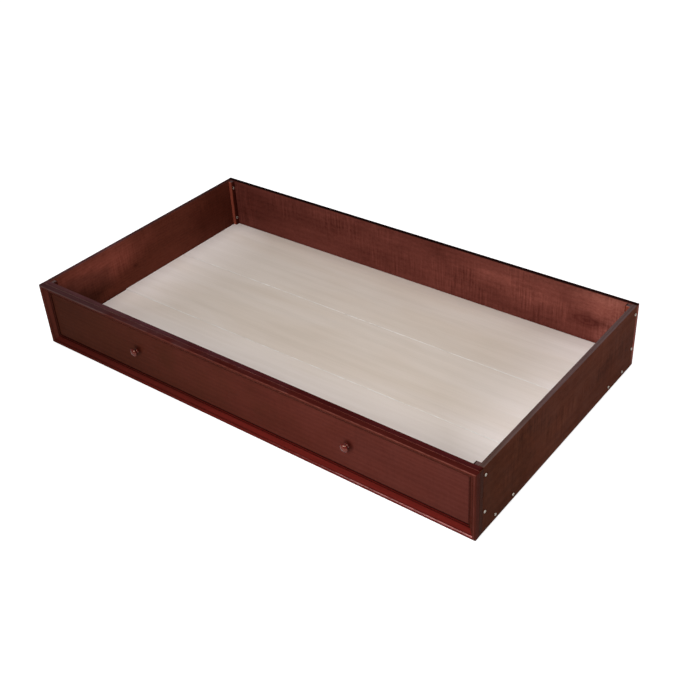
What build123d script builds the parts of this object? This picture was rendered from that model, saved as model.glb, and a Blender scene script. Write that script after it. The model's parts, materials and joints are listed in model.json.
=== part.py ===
from build123d import *
import math
import os

# Trundle bed: a low mattress box on four hidden rollers.
# X runs along the bed, Y from the front to the back, Z up. The rollers stand on Z = 0.
# The origin lies under the middle of the whole object, knobs included. Sizes are in millimetres.

# Box
overall_length = 1950.0
overall_depth = 1088.0        # nose of the front moulding to the outside of the back
panel_height = 263.0
floor_clearance = 10.0        # air under the panels
front_thickness = 21.0
end_thickness = 19.0
back_thickness = 17.0
edge_round = 1.5              # rounding of the edges that hands touch

# Mitred moulding on the front
moulding_width = 34.0
moulding_depth = 22.0
bead_radius = 7.5             # large bead along the outer edge
quirk_depth = 3.5             # the flat beside the bead lies this far behind the nose
quirk_flat = 1.6
slope_hollow = 1.2            # how far the slope is hollowed below a straight line
lip_radius = 1.6              # small bead along the inner edge
lip_centre_depth = 2.2
slope_end_rise = 1.8          # the slope ends this far above the small bead's centre
moulding_arris = 0.8          # rounding where the moulding meets the board's outer edge

# Knobs
knob_spacing = 968.0
knob_projection = 25.0
knob_head_radius = 15.0
knob_underside_height = 12.0
knob_rim_bevel = 3.5          # from the head's underside to its widest place
knob_neck_radius = 5.5
knob_neck_height = 7.0
knob_foot_radius = 9.5
knob_foot_height = 2.2
knob_screw_radius = 2.0
knob_screw_bite = 13.0        # length of the screw inside the knob
knob_screw_tip_gap = 1.0
knob_screw_head_radius = 4.5
knob_screw_head_height = 2.6

# Floor of the mattress well
deck_thickness = 9.0
deck_board_count = 3
deck_seam = 1.0
deck_side_gap = 1.0
deck_end_gap = 0.5
deck_end_play = 6.0           # the boards are this much shorter than the well

# What carries the floor
ledger_width = 20.0
ledger_lift = 3.0             # bottom of the long ledgers above the panels' bottom edges
ledger_end_gap = 1.0
end_ledger_height = 20.0
end_ledger_gap = 5.0          # between an end ledger and the roller blocks beside it
slat_count = 5
slat_width = 70.0
slat_thickness = 18.0
slat_end_gap = 1.0
timber_bevel = 1.0            # along the arrises of strips, blocks and floor boards

# Corner blocks
corner_block_side = 19.0
corner_block_drop = 3.0       # top of the block below the panels' top edge
corner_block_lift = 0.5       # bottom of the block above the floor
corner_bolt_inset = 33.0      # bolt from the block's lower end, and from the panels' top edge
corner_screw_inset = 14.0

# Rollers and their blocks
roller_radius = 23.0
roller_width = 18.0
roller_shoulder = 2.0
roller_side_gap = 1.0         # air between the wheel and the block's cheeks
roller_head_room = 5.0        # air between the tread and the floor boards
roller_slot_gap = 4.0         # air between the tread and the slot's ends
roller_cheek = 10.0           # wood either side of the slot
roller_block_length = 160.0
roller_block_lift = 1.0       # bottom of the block above the panels' bottom edges
roller_block_inset = 128.0    # middle of the block from the end panel's end
roller_bolt_spacing = 108.0
axle_radius = 4.0
axle_head_radius = 7.5
axle_head_height = 2.5
axle_end_gap = 0.5

# Bolts, nuts and screws
head_sides = 12               # round heads and flanges are drawn with this many flats
shank_sides = 8               # bolts, sleeves and their holes with this many
screw_sides = 6               # and screws with this many
bolt_radius = 3.0
bolt_head_radius = 5.25
bolt_head_height = 3.0
bolt_head_bevel = 1.5
sleeve_radius = 4.3
sleeve_length = 12.0
sleeve_flange_radius = 6.5
sleeve_flange_thickness = 1.6
sleeve_tip_gap = 2.0          # bolt's tip from the block's inner face
nut_width = 10.0
nut_height = 6.0
bolt_tip_reach = 2.0          # bolt's tip beyond a hexagon nut
screw_radius = 2.0
screw_head_radius = 4.0
screw_head_height = 2.6
screw_tip_radius = 0.6
screw_tip_height = 4.0
screw_sink = 0.3              # heads lie this far below the surface
corner_screw_bite = 11.0      # length of a corner screw inside the front or the back

# Fits
running_fit = 0.06            # radial, roller on its pin
pin_fit = 0.1                 # radial, pin in its block
thread_fit = 0.1              # radial, bolt in a nut and knob screw in a knob
bolt_hole_gap = 0.4           # radial, bolt in wood
wood_fit = 0.15               # radial, screws and sleeves in wood

# Places that follow from the sizes above
half_length = overall_length / 2
front_reach = max(moulding_depth, knob_projection)
half_depth = (overall_depth - moulding_depth + front_reach) / 2
back_y = half_depth
face_y = front_reach - half_depth
front_inner_y = face_y + front_thickness
back_inner_y = back_y - back_thickness
well_depth = back_inner_y - front_inner_y
well_middle_y = (front_inner_y + back_inner_y) / 2
end_inner_x = half_length - end_thickness
well_length = 2 * end_inner_x
bottom_z = floor_clearance
top_z = bottom_z + panel_height
middle_z = (bottom_z + top_z) / 2
deck_bottom_z = 2 * roller_radius + roller_head_room
deck_top_z = deck_bottom_z + deck_thickness
slat_bottom_z = deck_bottom_z - slat_thickness
ledger_bottom_z = bottom_z + ledger_lift

block_bottom_z = deck_top_z + corner_block_lift
block_top_z = top_z - corner_block_drop
corner_bolt_heights = (block_bottom_z + corner_bolt_inset, top_z - corner_bolt_inset)
corner_screw_heights = (
    block_bottom_z + corner_screw_inset,
    (block_bottom_z + block_top_z) / 2,
    block_top_z - corner_screw_inset,
)
corner_bolt_length = end_thickness + corner_block_side - sleeve_tip_gap
corner_screw_length = corner_block_side + corner_screw_bite

roller_slot_width = roller_width + 2 * roller_side_gap
roller_block_width = roller_slot_width + 2 * roller_cheek
roller_block_bottom_z = bottom_z + roller_block_lift
roller_block_x = end_inner_x - roller_block_width / 2
roller_bolt_z = (roller_block_bottom_z + deck_bottom_z) / 2
roller_bolt_length = end_thickness + roller_block_width + nut_height + bolt_tip_reach
knob_xs = (-knob_spacing / 2, knob_spacing / 2)

ENDS = (("left", -1), ("right", 1))
ROWS = (("front", -1), ("back", 1))
TO_FRONT = (0, -1, 0)
TO_BACK = (0, 1, 0)
FROM_TOP = (Align.CENTER, Align.CENTER, Align.MAX)


def placed(x, y, z, direction):
    """A place whose own Z axis points along the direction."""
    return Plane(origin=(x, y, z), z_dir=direction).location


def well_face_y(row):
    """Inside face of the front board or of the back panel."""
    return front_inner_y if row < 0 else back_inner_y


def roller_y(row):
    """Middle of a roller, measured from the end panel's nearer end."""
    return well_face_y(row) - row * roller_block_inset


def long_edges(x_low, x_high, y_low, y_high, z_low, z_high):
    """The four longest edges of a plain block of wood between two corners."""
    size = (x_high - x_low, y_high - y_low, z_high - z_low)
    middle = ((x_low + x_high) / 2, (y_low + y_high) / 2, (z_low + z_high) / 2)
    blank = Pos(*middle) * Box(*size)
    return blank.edges().sort_by(SortBy.LENGTH)[-4:]


def panel(*corners):
    """A planed panel with its long edges rounded."""
    return fillet(long_edges(*corners), edge_round)


def timber(*corners):
    """A strip, block or floor board with its long edges bevelled."""
    return chamfer(long_edges(*corners), timber_bevel)


# Fasteners: each lies along its own Z axis, with its head at the top
def flats(radius, sides, height):
    """A many-sided rod standing on Z = 0, or hanging below it if the height is negative."""
    return extrude(RegularPolygon(radius, sides), height)


def bolt(length):
    """Furniture bolt with a low bevelled head."""
    blank = flats(bolt_head_radius, head_sides, bolt_head_height)
    head = chamfer(blank.edges().group_by(Axis.Z)[-1], bolt_head_bevel)
    return head + flats(bolt_radius, shank_sides, -length)


def sleeve_nut():
    """Flanged sleeve nut, let into the wood below its flange."""
    flange = flats(sleeve_flange_radius, head_sides, sleeve_flange_thickness)
    sleeve = flats(sleeve_radius, shank_sides, -sleeve_length)
    bore = flats(bolt_radius + thread_fit, shank_sides, 2 * sleeve_length)
    return flange + sleeve - Pos(0, 0, -sleeve_length) * bore


def hexagon_nut():
    """Plain hexagon nut."""
    blank = extrude(RegularPolygon(nut_width / 2, 6, major_radius=False), nut_height)
    return blank - flats(bolt_radius + thread_fit, shank_sides, nut_height)


def wood_screw(length, gap=0.0):
    """Countersunk screw, or with a gap the hole that it sits in."""
    sections = (
        (0, screw_head_radius),
        (-screw_head_height, screw_radius),
        (screw_tip_height - length, screw_radius),
        (-length - gap, screw_tip_radius),
    )
    rings = [Pos(0, 0, z) * RegularPolygon(radius + gap, screw_sides) for z, radius in sections]
    return loft(rings, ruled=True)


def screw_hole(length):
    """Pilot hole and countersink, open above the sunk head."""
    return wood_screw(length, wood_fit) + flats(screw_head_radius + wood_fit, screw_sides, screw_sink)


def bolt_hole(length):
    """Straight hole below a bolt's head."""
    return flats(bolt_radius + bolt_hole_gap, shank_sides, -length)


def sleeve_hole():
    """Wider mouth of a bolt hole, which takes a sleeve nut."""
    return flats(sleeve_radius + wood_fit, shank_sides, -sleeve_length - wood_fit)


# Places of the fasteners: each list gives a location with its Z axis pointing out of the wood
def corner_bolt_places(end, row):
    """Bolt heads on the outside of an end panel, beside one corner block."""
    y = well_face_y(row) - row * corner_block_side / 2
    return [placed(end * half_length, y, z, (end, 0, 0)) for z in corner_bolt_heights]


def sleeve_nut_places(end, row):
    """The same bolts' nuts, on the block's face towards the middle of the bed."""
    x = end * (end_inner_x - corner_block_side)
    y = well_face_y(row) - row * corner_block_side / 2
    return [placed(x, y, z, (-end, 0, 0)) for z in corner_bolt_heights]


def corner_screw_places(end, row):
    """Screws through a corner block into the front board or the back panel."""
    x = end * (end_inner_x - corner_block_side / 2)
    y = well_face_y(row) - row * (corner_block_side - screw_sink)
    return [placed(x, y, z, (0, -row, 0)) for z in corner_screw_heights]


def roller_bolt_places(end, row):
    """Bolt heads on the outside of an end panel, either side of a roller."""
    offsets = (-roller_bolt_spacing / 2, roller_bolt_spacing / 2)
    return [placed(end * half_length, roller_y(row) + dy, roller_bolt_z, (end, 0, 0)) for dy in offsets]


def roller_nut_places(end, row):
    """The same bolts' nuts, on the inner side of the roller block."""
    x = end * (end_inner_x - roller_block_width)
    offsets = (-roller_bolt_spacing / 2, roller_bolt_spacing / 2)
    return [placed(x, roller_y(row) + dy, roller_bolt_z, (-end, 0, 0)) for dy in offsets]


def slat_xs():
    """Middles of the cross slats, which share the well's length evenly."""
    pitch = well_length / (slat_count + 1)
    return [(index + 1) * pitch - well_length / 2 for index in range(slat_count)]


def end_ledger_length():
    """Room between the two roller blocks of one end."""
    taken = roller_block_inset + roller_block_length / 2 + end_ledger_gap
    return well_depth - 2 * taken


def shaped(places, shape):
    """The same shape at every place."""
    return [place * shape for place in places]


# Panels
def long_panel(y_low, y_high):
    """Front board or back panel, as long as the bed."""
    return panel(-half_length, half_length, y_low, y_high, bottom_z, top_z)


def front_board():
    """Flat board that carries the moulding and the knobs."""
    cuts = []
    for _, end in ENDS:
        cuts += shaped(corner_screw_places(end, -1), screw_hole(corner_screw_length))
    hole = flats(knob_screw_radius + bolt_hole_gap, screw_sides, -2 * front_thickness)
    cuts += [placed(x, front_inner_y, middle_z, TO_BACK) * hole for x in knob_xs]
    return long_panel(face_y, front_inner_y) - cuts


def back_panel():
    """Plain back, which covers the ends of the end panels."""
    cuts = []
    for _, end in ENDS:
        cuts += shaped(corner_screw_places(end, 1), screw_hole(corner_screw_length))
    return long_panel(back_inner_y, back_y) - cuts


def end_panel(end):
    """End, held between the front and the back, drilled for its bolts."""
    x_low, x_high = sorted((end * half_length, end * end_inner_x))
    blank = panel(x_low, x_high, front_inner_y, back_inner_y, bottom_z, top_z)
    cuts = []
    through = bolt_hole(2 * end_thickness)
    for _, row in ROWS:
        cuts += shaped(corner_bolt_places(end, row), through)
        cuts += shaped(roller_bolt_places(end, row), through)
    return blank - cuts


# Moulding
def moulding_profile():
    """Section of the moulding: across from its outer edge, and out from the board."""
    bead_height = moulding_depth - bead_radius
    quirk_height = moulding_depth - quirk_depth
    turn = math.asin((quirk_height - bead_height) / bead_radius)
    half_turn = (math.pi + turn) / 2
    bead_end = (bead_radius * (1 + math.cos(turn)), quirk_height)
    bead_top = (
        bead_radius * (1 + math.cos(half_turn)),
        bead_height + bead_radius * math.sin(half_turn),
    )
    slope_start = (bead_end[0] + quirk_flat, quirk_height)
    lip_start = (moulding_width - 2 * lip_radius, lip_centre_depth)
    lip_top = (moulding_width - lip_radius, lip_centre_depth + lip_radius)
    lip_end = (moulding_width, lip_centre_depth)
    slope_end = (lip_start[0], lip_centre_depth + slope_end_rise)
    run = slope_end[0] - slope_start[0]
    fall = slope_start[1] - slope_end[1]
    slope_length = math.hypot(run, fall)
    slope_middle = (
        (slope_start[0] + slope_end[0]) / 2 - slope_hollow * fall / slope_length,
        (slope_start[1] + slope_end[1]) / 2 - slope_hollow * run / slope_length,
    )
    back_corners = ((moulding_width, 0), (moulding_arris, 0), (0, moulding_arris))
    outline = Polyline(lip_end, *back_corners, (0, bead_height))
    outline += ThreePointArc((0, bead_height), bead_top, bead_end)
    outline += Line(bead_end, slope_start)
    outline += ThreePointArc(slope_start, slope_middle, slope_end)
    outline += Line(slope_end, lip_start)
    outline += ThreePointArc(lip_start, lip_top, lip_end)
    return make_face(outline)


def moulding_stick(length):
    """One mitred length, lying along X with its outer edge up and its back at Y = 0."""
    section = Plane(origin=(length / 2, 0, 0), x_dir=(0, 0, -1), z_dir=(-1, 0, 0))
    stick = extrude(section * moulding_profile(), length)
    half = length / 2
    mitred = Polyline(
        (-half, 0),
        (half, 0),
        (half - moulding_width, -moulding_width),
        (moulding_width - half, -moulding_width),
        (-half, 0),
    )
    return stick & extrude(Plane.XZ * make_face(mitred), moulding_depth)


def moulding_sticks():
    """The four sides of the frame, by name."""
    long_stick = moulding_stick(overall_length)
    short_stick = moulding_stick(panel_height)
    return {
        "top": Pos(0, face_y, top_z) * long_stick,
        "bottom": Pos(0, face_y, bottom_z) * Rot(0, 180, 0) * long_stick,
        "left": Pos(-half_length, face_y, middle_z) * Rot(0, -90, 0) * short_stick,
        "right": Pos(half_length, face_y, middle_z) * Rot(0, 90, 0) * short_stick,
    }


# Knobs
def knob():
    """Turned mushroom knob along Z, standing on its foot."""
    foot_edge = (knob_foot_radius, knob_foot_height)
    neck = (knob_neck_radius, knob_neck_height)
    underside = (knob_head_radius - knob_rim_bevel, knob_underside_height)
    rim = (knob_head_radius, knob_underside_height + knob_rim_bevel)
    nose = (0, knob_projection)
    outline = Polyline(nose, (0, 0), (knob_foot_radius, 0), foot_edge, neck, underside, rim)
    outline += TangentArc(nose, rim, tangent=(1, 0))
    turned = revolve(Plane.XZ * make_face(outline), Axis.Z)
    hole_depth = knob_screw_bite + knob_screw_tip_gap
    return turned - flats(knob_screw_radius + thread_fit, screw_sides, hole_depth)


def knob_screw():
    """Flat-headed screw, from the inside of the front board into the knob."""
    head = flats(knob_screw_head_radius, head_sides, knob_screw_head_height)
    return head + flats(knob_screw_radius, screw_sides, -front_thickness - knob_screw_bite)


# Floor and what carries it
def deck_boards():
    """Three loose boards: the front one lies against the right end, the others against the left."""
    room = well_depth - 2 * deck_side_gap - (deck_board_count - 1) * deck_seam
    width = room / deck_board_count
    length = well_length - deck_end_play
    boards = []
    for index in range(deck_board_count):
        y_low = front_inner_y + deck_side_gap + index * (width + deck_seam)
        left_x = end_inner_x - deck_end_gap - length if index == 0 else deck_end_gap - end_inner_x
        boards.append(
            timber(left_x, left_x + length, y_low, y_low + width, deck_bottom_z, deck_top_z)
        )
    return boards


def long_ledger(row):
    """Strip glued along the front board or the back panel, under the slats' ends."""
    half = end_inner_x - ledger_end_gap
    y_low, y_high = sorted((well_face_y(row), well_face_y(row) - row * ledger_width))
    return timber(-half, half, y_low, y_high, ledger_bottom_z, slat_bottom_z)


def end_ledger(end):
    """Strip glued along an end panel, under the floor boards' ends."""
    x_low, x_high = sorted((end * end_inner_x, end * (end_inner_x - ledger_width)))
    half = end_ledger_length() / 2
    z_low = deck_bottom_z - end_ledger_height
    return timber(x_low, x_high, well_middle_y - half, well_middle_y + half, z_low, deck_bottom_z)


def slat(x):
    """Cross slat from ledger to ledger."""
    half = slat_width / 2
    y_low = front_inner_y + slat_end_gap
    y_high = back_inner_y - slat_end_gap
    return timber(x - half, x + half, y_low, y_high, slat_bottom_z, deck_bottom_z)


def corner_block(end, row):
    """Square block that ties an end panel to the front or the back."""
    near_y = well_face_y(row)
    x_low, x_high = sorted((end * end_inner_x, end * (end_inner_x - corner_block_side)))
    y_low, y_high = sorted((near_y, near_y - row * corner_block_side))
    blank = timber(x_low, x_high, y_low, y_high, block_bottom_z, block_top_z)
    cuts = shaped(corner_bolt_places(end, row), bolt_hole(2 * corner_bolt_length))
    cuts += shaped(sleeve_nut_places(end, row), sleeve_hole())
    cuts += shaped(corner_screw_places(end, row), screw_hole(corner_screw_length))
    return blank - cuts


# Rollers
def roller_block(end, row):
    """Block under the floor with a slot for its roller and a hole for the pin."""
    x = end * roller_block_x
    y = roller_y(row)
    half = roller_block_width / 2
    reach = roller_block_length / 2
    blank = timber(x - half, x + half, y - reach, y + reach, roller_block_bottom_z, deck_bottom_z)
    slot_length = 2 * (roller_radius + roller_slot_gap)
    slot = Pos(x, y, roller_bolt_z) * Box(roller_slot_width, slot_length, 2 * deck_bottom_z)
    pin_hole = Cylinder(axle_radius + pin_fit, 2 * roller_block_width)
    cuts = [slot, placed(x, y, roller_radius, (end, 0, 0)) * pin_hole]
    cuts += shaped(roller_bolt_places(end, row), bolt_hole(2 * roller_bolt_length))
    return blank - cuts


def roller():
    """Moulded wheel about Z with bevelled shoulders."""
    half = roller_width / 2
    shoulder = roller_radius - roller_shoulder
    bore = axle_radius + running_fit
    outline = Polyline(
        (bore, -half),
        (shoulder, -half),
        (roller_radius, roller_shoulder - half),
        (roller_radius, half - roller_shoulder),
        (shoulder, half),
        (bore, half),
        (bore, -half),
    )
    return revolve(Plane.XZ * make_face(outline), Axis.Z)


def axle_pin():
    """Plain pin along Z with a flat head, pushed in from the block's inner side."""
    head = flats(axle_head_radius, head_sides, axle_head_height)
    return head + Cylinder(axle_radius, roller_block_width - axle_end_gap, align=FROM_TOP)


def placed_rollers():
    """The four rollers and their pins, by name."""
    pieces = {}
    for row_name, row in ROWS:
        for end_name, end in ENDS:
            y = roller_y(row)
            inner_x = end * (end_inner_x - roller_block_width)
            name = f"{row_name}_{end_name}"
            pieces[name + "_roller"] = placed(end * roller_block_x, y, roller_radius, (end, 0, 0)) * roller()
            pieces[name + "_axle_pin"] = placed(inner_x, y, roller_radius, (-end, 0, 0)) * axle_pin()
    return pieces


def fastener_groups():
    """Like fasteners together, each one a solid of its own."""
    groups = {
        "corner_bolts": [], "corner_sleeve_nuts": [], "corner_block_screws": [],
        "roller_bolts": [], "roller_nuts": [],
    }
    for _, end in ENDS:
        for _, row in ROWS:
            groups["corner_bolts"] += shaped(corner_bolt_places(end, row), bolt(corner_bolt_length))
            groups["corner_sleeve_nuts"] += shaped(sleeve_nut_places(end, row), sleeve_nut())
            groups["corner_block_screws"] += shaped(
                corner_screw_places(end, row), wood_screw(corner_screw_length)
            )
            groups["roller_bolts"] += shaped(roller_bolt_places(end, row), bolt(roller_bolt_length))
            groups["roller_nuts"] += shaped(roller_nut_places(end, row), hexagon_nut())
    groups["knob_screws"] = [placed(x, front_inner_y, middle_z, TO_BACK) * knob_screw() for x in knob_xs]
    return {name: Compound(children=solids) for name, solids in groups.items()}


def all_pieces():
    """Every named piece of the bed in its place."""
    pieces = {"front_board": front_board(), "back_panel": back_panel()}
    for side, stick in moulding_sticks().items():
        pieces[f"front_{side}_moulding"] = stick
    for side, x in zip(("left", "right"), knob_xs):
        pieces[f"{side}_knob"] = placed(x, face_y, middle_z, TO_FRONT) * knob()
    for end_name, end in ENDS:
        pieces[f"{end_name}_end_panel"] = end_panel(end)
        pieces[f"{end_name}_end_ledger"] = end_ledger(end)
        for row_name, row in ROWS:
            pieces[f"{row_name}_{end_name}_corner_block"] = corner_block(end, row)
            pieces[f"{row_name}_{end_name}_roller_block"] = roller_block(end, row)
    for row_name, row in ROWS:
        pieces[f"{row_name}_ledger"] = long_ledger(row)
    for number, piece in enumerate(deck_boards(), start=1):
        pieces[f"deck_board_{number}"] = piece
    for number, x in enumerate(slat_xs(), start=1):
        pieces[f"deck_slat_{number}"] = slat(x)
    pieces.update(placed_rollers())
    pieces.update(fastener_groups())
    return pieces


os.makedirs("parts", exist_ok=True)
for name, piece in all_pieces().items():
    export_step(piece, f"parts/{name}.step")
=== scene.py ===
"""Looks of a rolling trundle bed: stained wood, washed floor boards, bright bolts and rollers."""
import json
import math
from typing import NamedTuple

import bmesh
import bpy
from mathutils import Matrix, Vector


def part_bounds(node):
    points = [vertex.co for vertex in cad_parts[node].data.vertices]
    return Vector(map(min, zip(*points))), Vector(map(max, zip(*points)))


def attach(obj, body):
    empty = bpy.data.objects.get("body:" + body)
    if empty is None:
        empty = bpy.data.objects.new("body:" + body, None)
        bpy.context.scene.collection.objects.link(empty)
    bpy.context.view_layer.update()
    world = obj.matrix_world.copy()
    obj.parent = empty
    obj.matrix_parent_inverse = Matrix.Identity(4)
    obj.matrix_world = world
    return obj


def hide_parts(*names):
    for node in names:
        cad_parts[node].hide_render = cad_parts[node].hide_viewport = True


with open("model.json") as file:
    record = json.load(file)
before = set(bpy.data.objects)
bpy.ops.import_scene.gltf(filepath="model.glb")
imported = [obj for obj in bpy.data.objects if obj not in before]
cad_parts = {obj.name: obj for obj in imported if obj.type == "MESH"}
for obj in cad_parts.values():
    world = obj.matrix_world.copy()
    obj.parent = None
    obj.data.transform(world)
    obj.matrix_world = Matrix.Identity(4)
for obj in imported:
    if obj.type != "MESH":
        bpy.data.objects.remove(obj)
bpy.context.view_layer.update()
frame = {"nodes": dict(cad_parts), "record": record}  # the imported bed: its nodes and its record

bl_info = {
    "name": "Trundle bed looks",
    "version": (1, 0, 0),
    "blender": (4, 5, 0),
    "location": "3D View > Sidebar > Trundle",
    "description": "Finishes a trundle bed around its packed frame",
    "category": "Object",
}

FRAME_BODY = "frame"
ENDS = ("left", "right")
CORNERS = [(row, end) for row in ("front", "back") for end in ENDS]
WEAR_AND_HIGHLIGHT = "wear"  # value on each vertex: how much it is worn, which on the mouldings and the front's top edge is how bright its painted highlight is
STAIN_AND_SHADE = "pool"  # value on each vertex: how dark its painted shade is, in the corners where stain also gathers
QUARTER_TURN = math.pi / 2
X_AXIS = (1, 0, 0)
Y_AXIS = (0, 1, 0)
Z_AXIS = (0, 0, 1)


def screen(red, green, blue):
    """A colour written in screen values from 0 to 255, as the linear values that shaders use."""
    def linear(value):
        share = value / 255
        return share / 12.92 if share <= 0.04045 else ((share + 0.055) / 1.055) ** 2.4
    return (linear(red), linear(green), linear(blue))


def number_prop(label, about, value, **kind):
    """A number that a user may change."""
    return bpy.props.FloatProperty(name=label, description=about, default=value, **kind)


def size_prop(label, about, metres):
    """A length that a user may change."""
    return number_prop(label, about, metres, unit="LENGTH", precision=4)


def colour_prop(label, about, red, green, blue):
    """A colour that a user may change."""
    return bpy.props.FloatVectorProperty(
        name=label, description=about, subtype="COLOR", size=3, min=0, max=1, default=screen(red, green, blue)
    )


# Settings
class TrundleShape(bpy.types.PropertyGroup):
    """Sizes of the small forms that finish the pieces."""
    panel_ease: size_prop("Panel ease", "Rounding of the panels' edges", 0.0016)
    block_ease: size_prop("Block ease", "Rounding of the corner blocks' edges", 0.0012)
    board_ease: size_prop("Board ease", "Rounding of the floor boards' edges", 0.0007)
    wear_band: size_prop("Wear band", "Width of the band beside an edge that wears", 0.004)
    seam: size_prop("Seam", "Air that shows between two floor boards", 0.0004)
    nose_radius: size_prop("Nose radius", "Rounding of the moulding's outer edge and nose", 0.0055)
    shoulder_radius: size_prop("Shoulder radius", "Slower rounding between the nose and the quirk", 0.014)
    quirk_depth: size_prop("Quirk depth", "The flat beside the bead lies this far behind its nose", 0.005)
    quirk_flat: size_prop("Quirk flat", "Width of the flat beside the bead", 0.0016)
    slope_hollow: size_prop("Slope hollow", "How far the moulding's slope is hollowed", 0.0005)
    lip_radius: size_prop("Lip radius", "Small bead along the inner edge of the moulding", 0.0021)
    lip_height: size_prop("Lip height", "Middle of the small bead above the board", 0.0022)
    slope_rise: size_prop("Slope rise", "Foot of the slope above the small bead's middle", 0.0018)
    moulding_arris: size_prop("Moulding arris", "Bevel where the moulding meets the board's edge", 0.0008)
    # The dark line beside the moulding is a painted shadow.
    moulding_shadow_reach: size_prop("Stain reach", "Width of the dark line beside the moulding", 0.006)
    rim_reach: size_prop("Rim reach", "Width of the dark line along the top of the back panel", 0.0034)
    knob_radius: size_prop("Knob radius", "Radius of the knob's head", 0.016)
    knob_foot_radius: size_prop("Knob foot radius", "Radius of the knob's foot", 0.0095)
    knob_foot_height: size_prop("Knob foot height", "Height of the knob's foot", 0.0022)
    knob_neck_radius: size_prop("Knob neck radius", "Radius of the knob's narrowest place", 0.0055)
    knob_neck_rise: size_prop("Knob neck rise", "Narrowest place of the knob above its foot", 0.0045)
    knob_neck_length: size_prop("Knob neck length", "Straight length of the knob's neck", 0.002)
    knob_underside: size_prop("Knob underside", "Underside of the knob's head above the board", 0.0145)
    knob_rim: size_prop("Knob rim", "Rounding of the knob's rim", 0.0025)
    bolt_head: size_prop("Bolt head", "Height of a bolt's head", 0.003)
    bolt_shank: size_prop("Bolt shank", "Radius of a bolt's shank", 0.003)
    head_dome: size_prop("Head dome", "Rounding of a bolt's head", 0.002)
    socket_radius: size_prop("Socket radius", "Radius of the hexagon socket in a bolt's head", 0.0023)
    socket_depth: size_prop("Socket depth", "Depth of the hexagon socket", 0.0018)
    screw_head: size_prop("Screw head", "Radius of a countersunk screw's head", 0.004)
    screw_shank: size_prop("Screw shank", "Radius of a countersunk screw's shank", 0.002)
    sleeve_flange: size_prop("Sleeve flange", "Thickness of a sleeve nut's flange", 0.0016)
    sleeve_wall: size_prop("Sleeve wall", "Thickness of a sleeve nut's wall", 0.0012)
    wheel_bore: size_prop("Wheel bore", "Radius of the hole in a wheel", 0.00406)
    wheel_hub: size_prop("Wheel hub", "Radius of a wheel's hub", 0.0095)
    wheel_web: size_prop("Wheel web", "Depth of the hollow beside a wheel's hub", 0.003)
    wheel_rim: size_prop("Wheel rim", "Width of the rim round that hollow", 0.0055)
    wheel_shoulder: size_prop("Wheel shoulder", "Rounding beside a wheel's tread", 0.002)


class TrundleColours(bpy.types.PropertyGroup):
    """Colours of the finishes."""
    front_stain: colour_prop("Front stain", "Stain of the front board", 85, 37, 29)
    moulding_stain: colour_prop("Moulding stain", "Stain of the lower moulding and the knobs", 95, 28, 23)
    # The uprights' browner stain paints the pale floor's reflection in these faces; the wood is the lower
    # moulding's.
    upright_stain: colour_prop("Upright stain", "Stain of the upright and upper mouldings", 80, 37, 29)
    back_stain: colour_prop("Back stain", "Stain of the back panel", 105, 53, 45)
    left_stain: colour_prop("Left stain", "Stain of the left end panel", 88, 42, 31)
    right_stain: colour_prop("Right stain", "Stain of the right end panel", 93, 49, 35)
    block_stain: colour_prop("Block stain", "Stain of the corner blocks", 142, 70, 54)
    # The top edges' colours are painted: darker as shade and greyer as sheen, on faces that look up.
    front_edge: colour_prop("Front edge", "Top edge of the front, where the stain is deep", 60, 17, 16)
    moulding_edge: colour_prop("Moulding edge", "Top of the upper moulding", 63, 20, 16)
    back_edge: colour_prop("Back edge", "Top edge of the back panel, under a dark rim", 72, 36, 38)
    left_edge: colour_prop("Left edge", "Top edge of the left end panel", 74, 43, 41)
    # The grey of these top edges is a painted sheen of reflected light.
    end_edge: colour_prop("End edge", "Top edges of the right end and the blocks, greyed by wear", 92, 70, 68)
    floor_wash: colour_prop("Floor wash", "Thin pale wash on the floor boards", 219, 206, 195)
    bare_timber: colour_prop("Bare timber", "Planed wood under the floor", 205, 168, 122)
    zinc: colour_prop("Zinc", "Plating of the bolts, nuts, screws and pins", 214, 208, 196)
    wheel: colour_prop("Wheel", "Moulded plastic of the rollers", 46, 46, 48)
    studio_floor: colour_prop("Studio floor", "Pale floor under the bed", 226, 226, 226)


class TrundleStage(bpy.types.PropertyGroup):
    """Camera and light."""
    lens: number_prop("Lens", "Focal length in mm on a 36 mm sensor", 54.144)
    eye: bpy.props.FloatVectorProperty(
        name="Eye", description="Place of the camera", subtype="XYZ", unit="LENGTH",
        default=(2.1368, -2.4963, 2.3069),
    )
    turn: bpy.props.FloatVectorProperty(
        name="Turn", description="Turn of the camera", subtype="EULER", unit="ROTATION",
        default=tuple(math.radians(angle) for angle in (55.059, 2.977, 37.188)),
    )
    ceiling: number_prop("Ceiling", "Light from above and around, where white is 1", 0.13)
    mirrored: number_prop("Mirrored", "How much of the white surround shows in shiny surfaces", 0.1)
    floor_glow: number_prop("Floor glow", "Light that the camera sees in the floor beside the bed", 0.8)
    key: number_prop("Key", "Power of the large softbox", 29.0, subtype="POWER")
    strip: number_prop("Strip", "Power of the narrow light that lines the mouldings", 12.0, subtype="POWER")
    overhead: number_prop("Overhead", "Power of the wide light above", 50.0, subtype="POWER")
    side: number_prop("Side", "Power of the side light", 11.0, subtype="POWER")


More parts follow.
